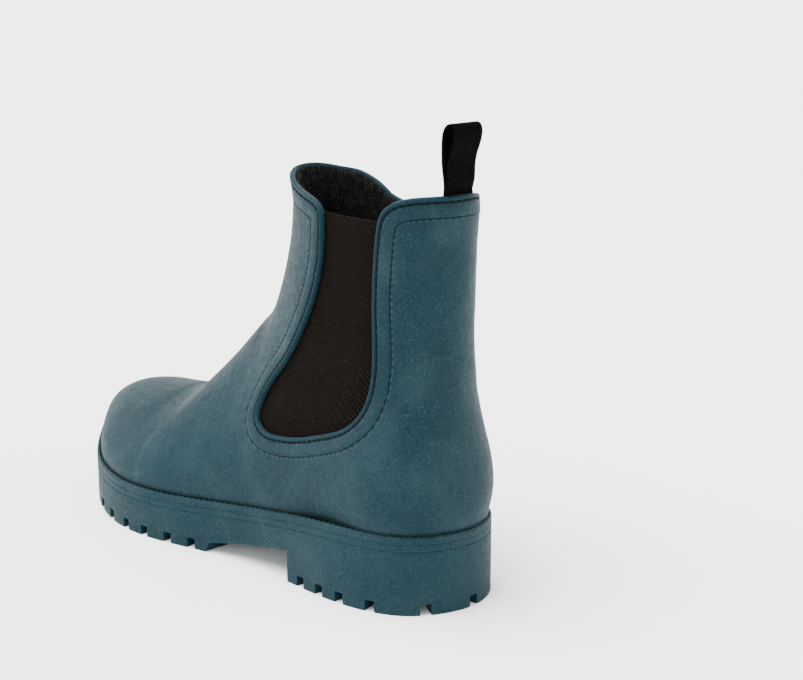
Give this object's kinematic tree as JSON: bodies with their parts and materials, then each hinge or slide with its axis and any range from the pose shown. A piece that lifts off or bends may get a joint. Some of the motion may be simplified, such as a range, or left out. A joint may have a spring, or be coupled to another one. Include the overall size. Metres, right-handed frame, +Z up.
{
  "type": "rubber rain boot",
  "caption": "Ankle-height Chelsea-style rubber rain boot with elastic side gores, rear pull loop, lined shaft and lugged sole with a block heel.",
  "frame": {"origin": "on the ground, under the middle of the boot's bounding box", "axes": "+X towards the toe, +Y towards the outer (lateral) side of this left boot, +Z up"},
  "size_m": [0.2834, 0.1014, 0.2194],
  "materials": {
    "boot_rubber": "satin, finely pebbled",
    "sole_rubber": "satin",
    "welt_rubber": "satin",
    "core_foam": "matte",
    "shank_steel": "brushed",
    "stiffener_board": "matte",
    "lining_knit": "knitted",
    "gore_elastic": "ribbed elastic",
    "insole_fibre": "fibre board",
    "footbed_foam": "fabric-covered foam",
    "loop_tape": "herringbone twill",
    "thread": "waxed thread"
  },
  "bodies": {
    "boot": {"outsole": "sole_rubber", "welt_strip": "welt_rubber", "heel_core": "core_foam", "shank": "shank_steel", "upper_shell": "boot_rubber", "toe_puff": "stiffener_board", "front_lining": "lining_knit", "rear_lining": "lining_knit", "lateral_gore": "gore_elastic", "medial_gore": "gore_elastic", "insole_board": "insole_fibre", "footbed": "footbed_foam", "pull_loop_anchor": "loop_tape", "loop_bar_tack": "thread", "front_topline_stitching": "thread", "rear_topline_stitching": "thread", "lateral_gore_stitching": "thread", "medial_gore_stitching": "thread"},
    "loop": {"pull_loop": "loop_tape"}
  },
  "joints": [
    {"name": "pull_loop_hinge", "type": "hinge", "parent": "boot", "child": "loop", "pos_m": [-0.1328, 0.001, 0.1902], "axis": [0, 1, 0], "range_deg": [-60, 95], "stiffness_Nm_per_rad": 0.004}
  ]
}
